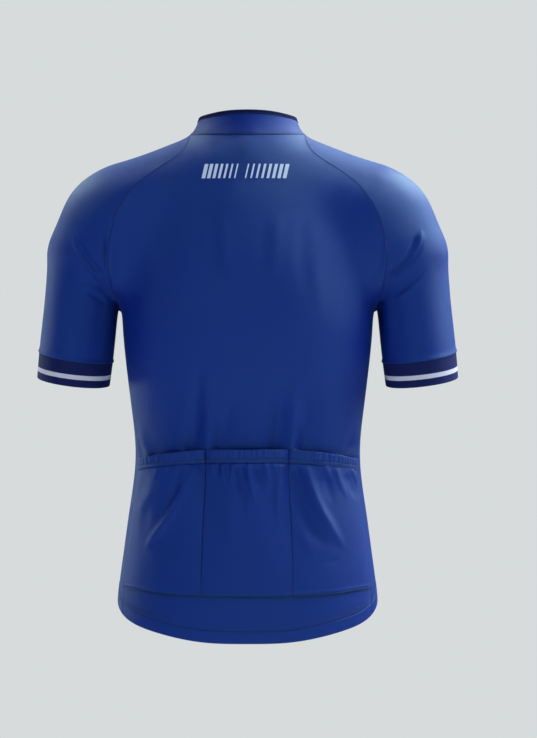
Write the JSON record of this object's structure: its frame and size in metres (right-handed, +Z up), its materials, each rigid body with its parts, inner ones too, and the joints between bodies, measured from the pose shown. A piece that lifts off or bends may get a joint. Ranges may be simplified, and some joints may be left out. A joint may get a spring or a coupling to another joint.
{
  "type": "cycling jersey",
  "caption": "Fitted short-sleeved raglan cycling jersey with a low stand collar, front zip, dropped hem and gathered rear pockets.",
  "frame": {"origin": "middle of the neck opening, level with the side ends of the collar seam, where the wearer's neck and shoulders hold the garment", "axes": "+Z up along the body, +X towards the wearer's right, +Y out of the zipped front, so the back with its pockets faces -Y"},
  "size_m": [0.5602, 0.2395, 0.6954],
  "materials": {
    "blue_knit": "smooth fine warp knit with a soft sheen",
    "blue_elastic": "self-coloured knit gathered on elastic",
    "navy_rib": "matte elastic cuff band with one pale stripe",
    "navy_binding": "matte folded binding",
    "zip_tape": "woven polyester tape",
    "zip_coil": "moulded coil",
    "zip_metal": "satin painted zinc"
  },
  "bodies": {
    "garment": {"back_panel": "blue_knit", "front_panel_left": "blue_knit", "front_panel_right": "blue_knit", "sleeve_left": "blue_knit", "sleeve_right": "blue_knit", "collar": "blue_knit", "pocket_left": "blue_knit", "pocket_middle": "blue_knit", "pocket_right": "blue_knit", "pocket_band_left": "blue_elastic", "pocket_band_middle": "blue_elastic", "pocket_band_right": "blue_elastic", "cuff_left": "navy_rib", "cuff_right": "navy_rib", "collar_binding": "navy_binding", "zip_tape": "zip_tape", "zip_chain": "zip_coil", "zip_slider": "zip_metal"},
    "zip_pull": {"zip_pull": "zip_metal"}
  },
  "joints": [
    {"name": "pull_swing", "type": "hinge", "parent": "garment", "child": "zip_pull", "pos_m": [0, 0.07012, -0.02451], "axis": [1, 0, 0], "range_deg": [0, 160]}
  ]
}
